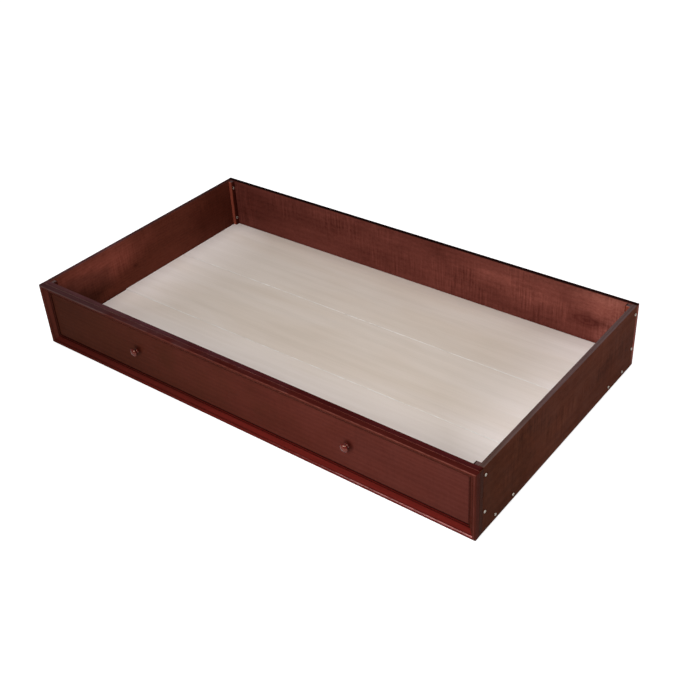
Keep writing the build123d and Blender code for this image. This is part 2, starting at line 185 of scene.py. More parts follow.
# Building node trees
class Bench:
    """A node tree with short ways to add its nodes and join them."""

    def __init__(self, tree):
        self.tree = tree

    def feed(self, socket, value):
        """Join a socket to another one, or give it a plain value."""
        if isinstance(value, bpy.types.NodeSocket):
            self.tree.links.new(value, socket)
        elif socket.type == "RGBA" and len(value) == 3:
            socket.default_value = (*value, 1)
        else:
            socket.default_value = value

    def add(self, kind, inputs=(), **settings):
        """A node with its settings and its inputs, which are given by name or number."""
        node = self.tree.nodes.new(kind)
        for name, value in settings.items():
            setattr(node, name, value)
        for name, value in dict(inputs).items():
            self.feed(node.inputs[name], value)
        return node

    def group(self, tree, **inputs):
        """A placed node group."""
        return self.add("ShaderNodeGroup", inputs, node_tree=tree).outputs

    def places(self):
        """Texture coordinates."""
        return self.add("ShaderNodeTexCoord").outputs

    def attribute(self, name):
        """A value that the vertices of the piece hold."""
        return self.add("ShaderNodeAttribute", attribute_name=name).outputs["Fac"]

    def parts(self, vector):
        """X, Y and Z of a vector."""
        return self.add("ShaderNodeSeparateXYZ", {0: vector}).outputs

    def vectors(self, operation, *values):
        """One sum of vectors."""
        return self.add("ShaderNodeVectorMath", dict(enumerate(values)), operation=operation).outputs

    def maths(self, operation, first, second=0.0, clamp=False):
        """One sum."""
        node = self.add("ShaderNodeMath", {0: first, 1: second}, operation=operation, use_clamp=clamp)
        return node.outputs[0]

    def total(self, first, *others):
        """Several values added up."""
        for value in others:
            first = self.maths("ADD", first, value)
        return first

    def times(self, first, second):
        """One value times another."""
        return self.maths("MULTIPLY", first, second)

    def swing(self, value, amount):
        """How far a value from 0 to 1 lies from the middle, times an amount."""
        return self.times(self.maths("SUBTRACT", value, 0.5), amount)

    def blend(self, factor, first, second, mode="MIX"):
        """Two colours mixed."""
        inputs = {0: factor, 6: first, 7: second}  # 6, 7 and output 2 are the sockets for colours
        return self.add("ShaderNodeMix", inputs, data_type="RGBA", blend_type=mode).outputs[2]

    def tint(self, colour, shares):
        """A colour with its red, green and blue each scaled."""
        return self.blend(1.0, colour, shares, "MULTIPLY")

    def span(self, value, low, high, to_low=0.0, to_high=1.0):
        """A value eased from one range into another, and held inside it."""
        inputs = {"Value": value, "From Min": low, "From Max": high, "To Min": to_low, "To Max": to_high}
        return self.add("ShaderNodeMapRange", inputs, interpolation_type="SMOOTHSTEP").outputs["Result"]

    def moved(self, vector, scale=(1, 1, 1), turn=(0, 0, 0), shift=(0, 0, 0)):
        """Coordinates turned, scaled and shifted."""
        inputs = {"Vector": vector, "Scale": scale, "Rotation": turn, "Location": shift}
        return self.add("ShaderNodeMapping", inputs).outputs[0]

    def noise(self, vector, scale=1.0, detail=2.0, roughness=0.5, distortion=0.0):
        """Smooth noise from 0 to 1."""
        inputs = {
            "Vector": vector, "Scale": scale, "Detail": detail, "Roughness": roughness,
            "Distortion": distortion,
        }
        return self.add("ShaderNodeTexNoise", inputs).outputs[0]

    def bumped(self, height, strength, distance):
        """A normal from a height."""
        inputs = {"Height": height, "Strength": strength, "Distance": distance}
        return self.add("ShaderNodeBump", inputs).outputs[0]


def new_group(name, inputs, outputs):
    """An empty shader node group with its sockets, as a bench and its two end nodes."""
    tree = bpy.data.node_groups.new(name, "ShaderNodeTree")
    for socket, kind in inputs.items():
        tree.interface.new_socket(name=socket, in_out="INPUT", socket_type="NodeSocket" + kind)
    for socket, kind in outputs.items():
        tree.interface.new_socket(name=socket, in_out="OUTPUT", socket_type="NodeSocket" + kind)
    bench = Bench(tree)
    return bench, bench.add("NodeGroupInput").outputs, bench.add("NodeGroupOutput").inputs


# Shared effects
DARK_GRAIN = (0.50, 0.42, 0.40)  # deepest and palest grain, against the tone of the wood
PALE_GRAIN = (1.52, 1.62, 1.66)
PORE_STRENGTH = 0.32
KNOT_RINGS = 17.0  # turns of the rings in a knot, in radians over its reach
RUFFLE = (0.9, 0.9, 0.9)  # how far a patch's outline strays, as a share of its reach


def wood_grain_group():
    """Grain of planed wood that runs along X: its colour, roughness and height."""
    amounts = ("Figure", "Streak", "Curl", "Cloud")
    inputs = {"Vector": "Vector", "Tone": "Color", **{name: "Float" for name in amounts}}
    outputs = {"Color": "Color", "Roughness": "Float", "Height": "Float"}
    bench, given, result = new_group("Wood grain", inputs, outputs)
    vector = given["Vector"]
    rings = bench.add(
        "ShaderNodeTexWave",
        {
            "Vector": bench.moved(vector, (0.06, 1, 1)), "Scale": 26, "Distortion": 5, "Detail": 3,
            "Detail Scale": 1.6, "Detail Roughness": 0.55,
        },
        wave_type="RINGS", rings_direction="X",
    ).outputs[1]
    streaks = bench.noise(bench.moved(vector, (4, 190, 190)), detail=4, roughness=0.62)
    pores = bench.span(bench.noise(bench.moved(vector, (46, 900, 900)), detail=2), 0.58, 0.74)
    mottle = bench.noise(bench.moved(vector, (80, 110, 110)), detail=4, roughness=0.65)
    clouds = bench.noise(bench.moved(vector, (3.2, 9, 9)), detail=4, roughness=0.55, distortion=0.4)
    clouds = bench.total(clouds, bench.swing(mottle, 0.7))
    curl_wave = bench.noise(bench.moved(vector, (150, 9, 9)), detail=4, roughness=0.6, distortion=0.3)
    curl_where = bench.span(bench.noise(bench.moved(vector, (4, 7, 7)), detail=2), 0.38, 0.66)
    curl = bench.swing(curl_wave, curl_where)
    depth = bench.total(
        bench.swing(rings, given["Figure"]), bench.swing(clouds, given["Cloud"]),
        bench.times(curl, given["Curl"]), bench.swing(streaks, given["Streak"]),
    )
    level = bench.maths("ADD", depth, 0.5, clamp=True)
    dark = bench.tint(given["Tone"], DARK_GRAIN)
    stained = bench.blend(level, dark, bench.tint(given["Tone"], PALE_GRAIN))
    bench.feed(result["Color"], bench.blend(bench.times(pores, PORE_STRENGTH), stained, dark))
    bench.feed(result["Roughness"], bench.total(bench.swing(streaks, 0.16), bench.times(pores, 0.08)))
    bench.feed(result["Height"], bench.maths("SUBTRACT", bench.times(streaks, 0.5), pores))
    return bench.tree


def patch_group():
    """An uneven oval in the wood: how strongly it shows, with rings in it if it is a knot."""
    inputs = {"Vector": "Vector", "Centre": "Vector", "Reach": "Vector", "Rings": "Float", "Core": "Float"}
    bench, given, result = new_group("Wood patch", inputs, {"Mask": "Float"})
    away = bench.vectors("SUBTRACT", given["Vector"], given["Centre"])[0]
    shares = bench.vectors("DIVIDE", away, given["Reach"])[0]
    coarse = {"Vector": given["Vector"], "Scale": 9.0, "Detail": 3.0}
    ruffle = bench.add("ShaderNodeTexNoise", coarse).outputs["Color"]
    ruffled = bench.vectors("SUBTRACT", ruffle, (0.5, 0.5, 0.5))[0]
    radius = bench.vectors("LENGTH", bench.vectors("MULTIPLY_ADD", ruffled, RUFFLE, shares)[0])["Value"]
    waves = bench.maths("SINE", bench.times(radius, KNOT_RINGS))
    plain = bench.maths("SUBTRACT", 1.0, given["Rings"])
    ringed = bench.total(bench.times(waves, given["Rings"]), plain)
    fade = bench.span(radius, given["Core"], 1.0, 1.0, 0.0)
    bench.feed(result["Mask"], bench.times(fade, ringed))
    return bench.tree


def edge_wear_and_highlight_group():
    """Where an edge is paler: worn, and on the mouldings and the front's top edge a painted highlight."""
    inputs = {"Vector": "Vector", "Wear": "Float", "Amount": "Float"}
    bench, given, result = new_group("Edge wear", inputs, {"Mask": "Float"})
    patches = bench.noise(given["Vector"], scale=26.0, detail=4, roughness=0.65)
    reach = bench.times(given["Wear"], bench.span(patches, 0.34, 0.66, 0.6, 1.0))
    bench.feed(result["Mask"], bench.times(bench.span(reach, 0.30, 0.95), given["Amount"]))
    return bench.tree


def scuff_group():
    """Fine hairline scratches and hand marks in a finish."""
    outputs = {"Roughness": "Float", "Height": "Float"}
    bench, given, result = new_group("Fine scuffs", {"Vector": "Vector"}, outputs)
    smears = bench.noise(bench.moved(given["Vector"], (7, 7, 7)), detail=4, roughness=0.6, distortion=0.6)
    hairs = bench.noise(bench.moved(given["Vector"], (30, 420, 420), turn=(0.3, 0.25, 0.5)), detail=2)
    scratches = bench.span(hairs, 0.66, 0.72)
    dulled = bench.total(bench.span(smears, 0.35, 0.7, -0.06, 0.08), bench.times(scratches, 0.12))
    bench.feed(result["Roughness"], dulled)
    bench.feed(result["Height"], bench.times(scratches, -1.0))
    return bench.tree


EFFECTS = {}


def effect(make):
    """A shared effect, built the first time that it is asked for."""
    if make not in EFFECTS:
        EFFECTS[make] = make()
    return EFFECTS[make]


def wood_grain(bench, vector, tone, figure, streak, curl, cloud):
    """Wood grain placed in a material."""
    return bench.group(
        effect(wood_grain_group), Vector=vector, Tone=tone, Figure=figure, Streak=streak, Curl=curl,
        Cloud=cloud,
    )


def worn_and_highlit_edges(bench, place, amount):
    """Where the edges of a piece are worn pale, which on the mouldings and the front's top edge is a painted
    highlight.
    """
    marked = bench.attribute(WEAR_AND_HIGHLIGHT)
    return bench.group(effect(edge_wear_and_highlight_group), Vector=place, Wear=marked, Amount=amount)["Mask"]


def scuffed(bench, place):
    """Fine scuffs placed in a material."""
    return bench.group(effect(scuff_group), Vector=place)


# Materials
SHINE = (1.0, 0.72, 0.55)  # colour that the lacquer gives to what it mirrors
RUBBED = (1.9, 1.9, 1.9)  # how much paler the stain is where it is rubbed
DARKENED_BY = (0.14, 0.10, 0.08)  # how much darker the painted shade is in corners and beside the moulding, where stain also gathers in the corners
BRUSHED_WASH = (0.95, 0.945, 0.935)  # greyer streaks of the floor's wash
THIN_WASH = (0.965, 0.945, 0.915)  # warmer patches of it, where the wood shows through
WALL_LIGHT = (1.42, 1.47, 1.58)  # paler towards the front and the ends: painted light against the shade of the walls
WALL_LIGHT_REACH = 0.45  # how far that painted light reaches over the floor
WALL_LIGHT_BEYOND_LEFT = 0.1  # it is measured from this far outside the left end
WALL_LIGHT_BEYOND_BACK = 0.3  # and from this far behind the back
WORN_WASH = (0.86, 0.83, 0.80)
DULL_ZINC = (0.72, 0.71, 0.70)
DUST = screen(120, 116, 110)
RUBBED_PLASTIC = screen(128, 124, 118)
ALONG_X = (0, 0, 0)
ALONG_Y = (0, 0, QUARTER_TURN)
ALONG_Z = (0, QUARTER_TURN, 0)
ACROSS_XY = (0, 1)
ACROSS_XZ = (0, 2)


class Patch(NamedTuple):
    """An uneven oval where the colour differs: stain, figure and knots, and painted light and shade."""
    centre: tuple  # as shares of the box of the piece that it lies on
    reach: tuple  # in metres
    tint: tuple
    core: float = 0.0  # share of the reach that shows fully
    rings: float = 0.0  # strength of its rings, if it is a knot


def laid(patches, node):
    """Patches with their centres in metres, on a CAD node."""
    low, high = part_box(node)
    return [patch._replace(centre=low + (high - low) * Vector(patch.centre)) for patch in patches]


def new_material(name, **sockets):
    """A material, its bench and the inputs of its shader, some of which are set by name."""
    material = bpy.data.materials.new(name)
    material.use_nodes = True
    bench = Bench(material.node_tree)
    shader = material.node_tree.nodes["Principled BSDF"]
    for socket, value in sockets.items():
        bench.feed(shader.inputs[socket.replace("_", " ")], value)
    return material, bench, shader.inputs


def beside_rim(bench, place, low, high, reach, plane=ACROSS_XZ):
    """1 at the sides of a rectangle in the plane of two axes, and 0 further from them than the reach."""
    places = bench.parts(place)
    nearest = reach
    for axis in plane:
        nearest = bench.maths("MINIMUM", nearest, bench.maths("SUBTRACT", places[axis], low[axis]))
        nearest = bench.maths("MINIMUM", nearest, bench.maths("SUBTRACT", high[axis], places[axis]))
    return bench.span(bench.maths("ABSOLUTE", nearest), 0.0, reach, 1.0, 0.0)


def patched(bench, place, colour, patches):
    """A colour with its uneven patches of stain, figure, painted light and painted shade."""
    for patch in patches:
        mask = bench.group(
            effect(patch_group), Vector=place, Centre=patch.centre, Reach=patch.reach, Rings=patch.rings,
            Core=patch.core,
        )["Mask"]
        colour = bench.blend(mask, colour, bench.tint(colour, patch.tint))
    return colour


def stained_wood(
    name, tone, turn, shift, top, figure=0.1, streak=0.12, curl=0.0, cloud=0.5, patches=(), wear=0.5,
    paled_by=RUBBED, gloss=0.04, rough=0.3, coat=0.0, rim=None,
):
    """Red-brown stain under satin lacquer.

    Turn lays the grain along the piece, and shift picks the place in the grain that it is cut from. Top is
    the colour of the faces that look up, whose darker and greyer tones are painted shade and sheen. The rim
    is the lowest and highest corner of a frame along which the faces that look to the front are darkened, and
    how
    far that reaches: a painted shadow beside the front's moulding, and a dark line along the back panel's
    top.
    The vertices' own values paint shade in corners, where stain also gathers. Wear pales the edges, and on
    the mouldings and the front's top edge it paints a highlight. Coat is how much clear lacquer shows where
    that highlight lies.
    """
    material, bench, shader = new_material(
        name, Specular_IOR_Level=gloss, Specular_Tint=SHINE, Coat_Roughness=0.16, Coat_IOR=1.5
    )
    places = bench.places()
    place = places["Object"]
    normal = bench.parts(places["Normal"])
    vector = bench.moved(place, turn=turn, shift=shift)
    grain = wood_grain(bench, vector, tone, figure, streak, curl, cloud)
    top_grain = wood_grain(bench, vector, top, figure=0.2, streak=0.5, curl=0.0, cloud=0.6)
    # faces that look up take the top colour: painted shade and sheen
    colour = bench.blend(bench.span(normal["Z"], 0.75, 0.97), grain["Color"], top_grain["Color"])
    colour = patched(bench, place, colour, patches)
    # painted shade in corners and beside the front's moulding, where stain also gathers in the corners
    darkened = bench.attribute(STAIN_AND_SHADE)
    if rim:
        fronts = bench.span(normal["Y"], 0.3, 0.7, 1.0, 0.0)
        beside = bench.times(fronts, beside_rim(bench, place, *rim))
        darkened = bench.maths("MAXIMUM", darkened, beside)
    colour = bench.blend(darkened, colour, bench.tint(colour, DARKENED_BY))
    # pale worn edges, which on the mouldings and the front's top edge are a painted highlight
    worn_and_highlit = worn_and_highlit_edges(bench, place, wear)
    scuffs = scuffed(bench, place)
    height = bench.total(grain["Height"], bench.times(scuffs["Height"], 0.4))
    bench.feed(shader["Base Color"], bench.blend(worn_and_highlit, colour, bench.tint(colour, paled_by)))
    bench.feed(shader["Roughness"], bench.total(grain["Roughness"], scuffs["Roughness"], rough))
    bench.feed(shader["Normal"], bench.bumped(height, strength=0.22, distance=0.00025))
    if coat:
        bench.feed(shader["Coat Weight"], bench.maths("MULTIPLY", bench.attribute(WEAR_AND_HIGHLIGHT), coat, clamp=True))
    return material


def washed_floor(name, tone, shift, low, high):
    """Floor board under a thin pale wash, painted paler towards the front and the ends as light against the
    walls' shade.
    """
    material, bench, shader = new_material(name, Specular_IOR_Level=0.3)
    place = bench.places()["Object"]
    vector = bench.moved(place, shift=shift)
    grain = wood_grain(bench, vector, tone, figure=0.1, streak=0.3, curl=0.0, cloud=0.2)
    brushed = bench.noise(bench.moved(vector, (2.2, 34, 34)), detail=5, roughness=0.55)
    thin = bench.noise(bench.moved(vector, (1.3, 5.5, 5.5)), detail=4, roughness=0.5, distortion=0.5)
    # painted light towards the front and the ends of the floor
    wall_light_low = (low.x - WALL_LIGHT_BEYOND_LEFT, low.y)
    wall_light_high = (high.x, high.y + WALL_LIGHT_BEYOND_BACK)
    wall_light = beside_rim(bench, place, wall_light_low, wall_light_high, WALL_LIGHT_REACH, ACROSS_XY)
    colour = bench.blend(0.10, tone, grain["Color"])
    colour = bench.blend(bench.span(brushed, 0.35, 0.7), colour, bench.tint(colour, BRUSHED_WASH))
    colour = bench.blend(bench.span(thin, 0.42, 0.68), colour, bench.tint(colour, THIN_WASH))
    colour = bench.blend(wall_light, colour, bench.tint(colour, WALL_LIGHT))
    scuffs = scuffed(bench, place)
    worn_and_highlit = worn_and_highlit_edges(bench, place, amount=0.8)
    bench.feed(shader["Base Color"], bench.blend(worn_and_highlit, colour, WORN_WASH))
    bench.feed(shader["Roughness"], bench.total(grain["Roughness"], scuffs["Roughness"], 0.62))
    bench.feed(shader["Normal"], bench.bumped(grain["Height"], strength=0.18, distance=0.0002))
    return material


def bare_timber(name, tone, turn, shift):
    """Planed wood with no finish."""
    material, bench, shader = new_material(name, Specular_IOR_Level=0.25)
    vector = bench.moved(bench.places()["Object"], turn=turn, shift=shift)
    grain = wood_grain(bench, vector, tone, figure=0.42, streak=0.42, curl=0.0, cloud=0.3)
    bench.feed(shader["Base Color"], grain["Color"])
    bench.feed(shader["Roughness"], bench.total(grain["Roughness"], 0.66))
    bench.feed(shader["Normal"], bench.bumped(grain["Height"], strength=0.3, distance=0.0003))
    return material


def zinc_plate(name, tone):
    """Bright plated steel, slightly dulled in patches."""
    material, bench, shader = new_material(name, Metallic=1.0)
    place = bench.places()["Object"]
    patches = bench.noise(place, scale=260.0, detail=4, roughness=0.6)
    scuffs = scuffed(bench, place)
    dulled = bench.tint(tone, DULL_ZINC)
    bench.feed(shader["Base Color"], bench.blend(bench.span(patches, 0.4, 0.75), tone, dulled))
    bench.feed(shader["Roughness"], bench.total(scuffs["Roughness"], 0.36))
    bench.feed(shader["Normal"], bench.bumped(patches, strength=0.1, distance=0.0001))
    return material


def wheel_plastic(name, tone):
    """Moulded plastic, rubbed pale round its tread."""
    material, bench, shader = new_material(name, Specular_IOR_Level=0.4)
    place = bench.places()["Object"]
    mould = bench.noise(place, scale=900.0, detail=2)
    dust = bench.noise(place, scale=70.0, detail=4, roughness=0.6)
    dusted = bench.blend(bench.span(dust, 0.45, 0.75, 0.0, 0.35), tone, DUST)
    worn_and_highlit = worn_and_highlit_edges(bench, place, amount=0.7)
    bench.feed(shader["Base Color"], bench.blend(worn_and_highlit, dusted, RUBBED_PLASTIC))
    bench.feed(shader["Roughness"], bench.span(dust, 0.3, 0.7, 0.42, 0.62))
    bench.feed(shader["Normal"], bench.bumped(mould, strength=0.15, distance=0.0001))
    return material


# Modelling
WELD = 1e-5  # metres: vertices that are closer become one
LARGE_ROUND = 48  # sides of a knob or a wheel
SMALL_ROUND = 24  # sides of a bolt or a nut
SCREW_ROUND = 20


def settings(context):
    """The sizes and the colours that are set."""
    return context.scene.trundle_shape, context.scene.trundle_colours


def part_box(node):
    """Lowest and highest corner of a CAD node."""
    low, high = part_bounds(node)
    return Vector(low), Vector(high)


def place_piece(bm, name, material, node, body=FRAME_BODY):
    """Turn a finished mesh into a piece of the bed that stands for its CAD node."""
    mesh = bpy.data.meshes.new(name)
    bm.to_mesh(mesh)
    bm.free()
    mesh.materials.append(material)
    piece = bpy.data.objects.new(name, mesh)
    bpy.context.scene.collection.objects.link(piece)
    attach(piece, body)
    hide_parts(node)


def verts_of(geometry):
    """The vertices in a mixed list."""
    return [item for item in geometry if isinstance(item, bmesh.types.BMVert)]


def edges_of(geometry):
    """The edges in a mixed list."""
    return [item for item in geometry if isinstance(item, bmesh.types.BMEdge)]


def eased_block(low, high, ease, band):
    """A block of wood with rounded edges, and a narrow band beside each edge for its wear and painted
    highlight to fade over.
    """
    bm = bmesh.new()
    bmesh.ops.create_cube(bm, size=1)
    bmesh.ops.scale(bm, vec=high - low, verts=bm.verts)
    bmesh.ops.translate(bm, vec=(low + high) / 2, verts=bm.verts)
    wear = bm.verts.layers.float.new(WEAR_AND_HIGHLIGHT)
    rounded = bmesh.ops.bevel(
        bm, geom=bm.edges[:], offset=ease, segments=3, profile=0.5, affect="EDGES", material=-1
    )["faces"]
    for vert in bm.verts:
        vert[wear] = 1
    flats = [face for face in bm.faces if face not in set(rounded)]
    for face in rounded:
        face.smooth = True
    narrowest = min(high - low) - 2 * ease
    bmesh.ops.inset_individual(bm, faces=flats, thickness=min(band, narrowest / 3), use_even_offset=True)
    for face in flats:
        for vert in face.verts:
            vert[wear] = 0
    return bm


def spare_wear_and_highlight(bm, marked):
    """Keep the wear and painted highlight only where a place is marked."""
    wear = bm.verts.layers.float[WEAR_AND_HIGHLIGHT]
    for vert in bm.verts:
        if not marked(vert.co):
            vert[wear] = 0


def grade_highlight(bm, left, right):
    """Scale the painted highlight along X, by a share at each end."""
    wear = bm.verts.layers.float[WEAR_AND_HIGHLIGHT]
    places = [vert.co.x for vert in bm.verts]
    start = min(places)
    reach = max(places) - start
    for vert in bm.verts:
        vert[wear] *= left + (right - left) * (vert.co.x - start) / reach


class Outline:
    """A chain of edges, drawn by growing its last vertex."""

    def __init__(self, bm, start):
        self.bm = bm
        self.first = self.last = bmesh.ops.create_vert(bm, co=start)["vert"][0]

    def line(self, *places):
        """Straight on to each place."""
        for place in places:
            self.last = bmesh.ops.extrude_vert_indiv(self.bm, verts=[self.last])["verts"][0]
            self.last.co = place
        return self

    def arc(self, centre, axis, angle, steps):
        """Round a centre."""
        grown = bmesh.ops.spin(
            self.bm, geom=[self.last], cent=centre, axis=axis, angle=angle, steps=steps, use_duplicate=False
        )["geom_last"]
        self.last = verts_of(grown)[0]
        return self

    def join(self):
        """Straight back to the start."""
        self.bm.edges.new((self.last, self.first))

    def fill(self):
        """Back to the start, as a face."""
        self.join()
        return bmesh.ops.contextual_create(self.bm, geom=self.bm.edges[:])["faces"]


class Arc(NamedTuple):
    """A stretch of a turned outline that runs round a centre."""
    centre: tuple  # distance from the axis, and height
    angle: float
    steps: int


def turned(sides, start, *path, closed=False):
    """An outline spun about Z. Its points and arcs are given by distance from the axis and by height."""
    bm = bmesh.new()
    outline = Outline(bm, (start[0], 0, start[1]))
    for step in path:
        if isinstance(step, Arc):
            outline.arc((step.centre[0], 0, step.centre[1]), Y_AXIS, step.angle, step.steps)
        else:
            outline.line((step[0], 0, step[1]))
    if closed:
        outline.join()
    bmesh.ops.spin(
        bm, geom=bm.verts[:] + bm.edges[:], cent=(0, 0, 0), axis=Z_AXIS, angle=4 * QUARTER_TURN, steps=sides,
        use_merge=True,
    )
    bmesh.ops.remove_doubles(bm, verts=bm.verts, dist=WELD)
    return bm


def stand(bm, place, turn, axis):
    """Turn a mesh about an axis and move it to its place."""
    bmesh.ops.transform(bm, matrix=Matrix.Translation(place) @ Matrix.Rotation(turn, 4, axis), verts=bm.verts)


def shade(bm, sharpest=math.radians(32)):
    """Outward normals, smooth faces, and sharp edges where two faces turn further than the angle."""
    bmesh.ops.recalc_face_normals(bm, faces=bm.faces)
    for face in bm.faces:
        face.smooth = True
    for edge in bm.edges:
        edge.smooth = len(edge.link_faces) == 2 and edge.calc_face_angle() < sharpest


# Panels
FAR = 10.0  # metres, outside every piece
RIM_LIFT = 0.6  # share of its reach by which the front's painted shadow line is raised at the top
FRONT_EDGE_HIGHLIGHT = (0.2, 1.1)  # share of the painted highlight at the left and right end of the front's top edge
FRONT_PATCHES = (
    Patch((-0.013, 0.02, 0.494), (1.5, 0.3, 0.6), (0.73, 0.86, 0.66), 0.1),  # darker and browner to the left: painted shade where the light falls off
    Patch((1.013, 0.02, 0.494), (0.9, 0.3, 0.6), (1.05, 1.22, 1.36)),  # paler to the right: painted light nearer the lamp
    Patch((-0.013, 0.5, 1.0), (1.3, 0.08, 0.02), (2.1, 5.4, 7.6), 0.3),  # greyer on the top edge at the left: painted sheen of the pale surround
    Patch((1.005, 0.5, 0.494), (0.02, 0.08, 0.5), (0.55, 0.53, 0.30), 0.8),  # dark right edge
)
# painted shadow and dark reflection of each knob on the board beside it
KNOB_SHADOW = Patch((0.833, 1.0, 0.8), (0.026, 0.018, 0.026), (0.5, 0.36, 0.32), 0.3)
LEFT_PATCHES = (
    Patch((1, 0.233, 0.779), (0.1, 0.36, 0.11), (2.2, 2.3, 2.6), 0.2),  # pale figure near the front
    Patch((1, 0.136, 0.532), (0.1, 0.19, 0.10), (0.58, 0.60, 0.60), 0.6),  # dark figure below it
    Patch((1, 0.405, 0.483), (0.03, 0.022, 0.016), (0.50, 0.42, 0.40), 0.2, 0.4),  # small knot
    Patch((1, 0.933, 0.57), (0.1, 0.36, 0.2), (0.62, 0.54, 0.52), 0.1),  # darker to the back: painted shade towards the back corner
)
RIGHT_PATCHES = (
    Patch((1, 0, 0.342), (0.1, 0.5, 0.4), (0.70, 0.68, 0.60), 0.3),  # darker to the front: painted shade against the key light's spill on this side
)
BACK_PATCHES = (
    Patch((0.962, 0, 0.817), (0.20, 0.1, 0.085), (2.3, 2.7, 2.7), 0.2),  # pale above the knot
    Patch((0.756, 0, 0.684), (0.34, 0.1, 0.10), (1.6, 1.75, 1.75), 0.1, 0.12),  # pale figure with faint rings
    Patch((0.977, 0, 0.342), (0.12, 0.1, 0.10), (2.3, 2.8, 2.9), 0.3),  # pale below the knot
    Patch((0.885, 0, 0.989), (0.45, 0.1, 0.05), (1.35, 1.5, 1.5), 0.1),  # pale along the top
    Patch((0.905, 0, 0.513), (0.10, 0.1, 0.036), (0.66, 0.56, 0.56), 0.3, 0.3),  # large knot
    Patch((0.09, 0, 0.57), (0.40, 0.1, 0.2), (0.72, 0.66, 0.64), 0.1),  # darker to the left
)


def framed_field():
    """Corners of the part of the front board that shows inside the moulding."""
    low = Vector((part_box("front_left_moulding")[1].x, 0, part_box("front_bottom_moulding")[1].z))
    high = Vector((part_box("front_right_moulding")[0].x, 0, part_box("front_top_moulding")[0].z))
    return low, high


def panel_finishes(colours, shape):
    """The stain of each panel, by its node."""
    field_low, field_high = framed_field()
    field_high.z += shape.moulding_shadow_reach * RIM_LIFT
    knob_shadows = [knob_shadow for end in ENDS for knob_shadow in laid([KNOB_SHADOW], f"{end}_knob")]
    back_top = part_box("back_panel")[1].z
    return {
        "front_board": stained_wood(
            "Front board stain", colours.front_stain, ALONG_X, (0.3, 0.1, 0.2), colours.front_edge,
            streak=0.08, curl=0.2, cloud=0.4, patches=laid(FRONT_PATCHES, "front_board") + knob_shadows,
            wear=0.9, paled_by=(1.7, 2.4, 2.3), gloss=0.01, rough=0.22,
            rim=(field_low, field_high, shape.moulding_shadow_reach),
        ),
        "back_panel": stained_wood(
            "Back panel stain", colours.back_stain, ALONG_X, (1.7, 0.6, 0.4), colours.back_edge,
            curl=1.8, cloud=1.1, patches=laid(BACK_PATCHES, "back_panel"), wear=0.0, gloss=0.01,
            rim=((-FAR, 0, -FAR), (FAR, 0, back_top), shape.rim_reach),
        ),
        "left_end_panel": stained_wood(
            "Left end stain", colours.left_stain, ALONG_Y, (2.9, 1.2, 0.7), colours.left_edge,
            curl=1.0, cloud=0.8, patches=laid(LEFT_PATCHES, "left_end_panel"), wear=0.0, gloss=0.01,
        ),
        "right_end_panel": stained_wood(
            "Right end stain", colours.right_stain, ALONG_Y, (4.1, 2.3, 0.9), colours.end_edge,
            curl=1.4, cloud=0.9, patches=laid(RIGHT_PATCHES, "right_end_panel"), wear=0.0, gloss=0.006,
            rough=0.45,
        ),
    }


class TRUNDLE_OT_panels(bpy.types.Operator):
    """Front board, back panel and the two end panels"""
    bl_idname = "trundle.panels"
    bl_label = "Panels"

    def execute(self, context):
        """Build the four panels."""
        shape, colours = settings(context)
        for node, finish in panel_finishes(colours, shape).items():
            low, high = part_box(node)
            bm = eased_block(low, high, shape.panel_ease, shape.wear_band)
            if node == "front_board":
                # painted highlight along the front's top front arris, brighter to the right
                nose = low.y + shape.panel_ease
                crest = high.z - shape.panel_ease
                spare_wear_and_highlight(bm, lambda place: place.y < nose and place.z > crest)
                grade_highlight(bm, *FRONT_EDGE_HIGHLIGHT)
            place_piece(bm, f"{node}_eased", finish, node)
        return {"FINISHED"}


# Moulding
SHOULDER_START = math.radians(27)  # how far the bead has turned from the front where its shoulder begins
SHOULDER_END = math.radians(51)
HIGHLIGHT_SPREAD = math.radians(26)  # the painted highlight on a bead reaches this far to each side of where it is brightest
QUIRK_SHADE = 0.45  # share of painted shade beside the large bead, where stain also gathers
LIP_SHADE = 0.4  # and on the small bead, whose corners hold all of it


class Stick(NamedTuple):
    """How one stick of the moulding is finished."""
    lean: float  # where the painted highlight on its bead is brightest, in degrees from the front
    left: float  # share of the painted highlight at the left end
    right: float  # and at the right end
    corner_shade: float  # share of painted shade in its corners, where stain also gathers
    paled_by: tuple  # how much paler the painted highlight makes the stain
    patches: tuple = ()
    coat: float = 0.0


STICKS = {
    "top": Stick(
        -45, 0.5, 1.3, 0.35, (2.2, 3.0, 3.4),
        # greyer on top towards the left: painted sheen of the pale surround
        patches=(Patch((-0.013, 0.568, 1.294), (1.4, 0.06, 0.018), (1.12, 3.0, 4.2), 0.55),),
    ),
    "bottom": Stick(
        48, -0.4, 1.15, 1.0, (4.2, 14.0, 17.0), coat=0.6,
        # less red towards the left: painted shade where the light falls off
        patches=(Patch((-0.013, 0.568, 0.294), (1.2, 0.2, 0.2), (0.70, 1.0, 0.95), 0.25),),
    ),
    "left": Stick(0, 0.6, 0.6, 1.0, (1.4, 1.6, 2.0)),
    "right": Stick(0, 0.9, 0.9, 0.8, (1.6, 1.9, 2.4)),
}


def point(across, out):
    """A point of the moulding's section, by its distances from the outer edge and from the board."""
    return Vector((0, -out, -across))


def facing(angle):
    """The way that is turned by an angle from the front towards the inner edge."""
    return point(math.sin(angle), math.cos(angle))


def lean(vert, centre):
    """The angle at which a vertex of the section lies round a centre, from the front."""
    away = centre - vert.co
    return math.atan2(away.z, away.y)


def hollow_arc(start, end, depth):
    """Centre and angle of a shallow hollow between two points in the YZ plane."""
    chord = end - start
    radius = chord.length ** 2 / (8 * depth) + depth / 2
    away = Vector((0, chord.z, -chord.y)).normalized()
    return (start + end) / 2 + away * (radius - depth), 2 * math.asin(chord.length / (2 * radius))


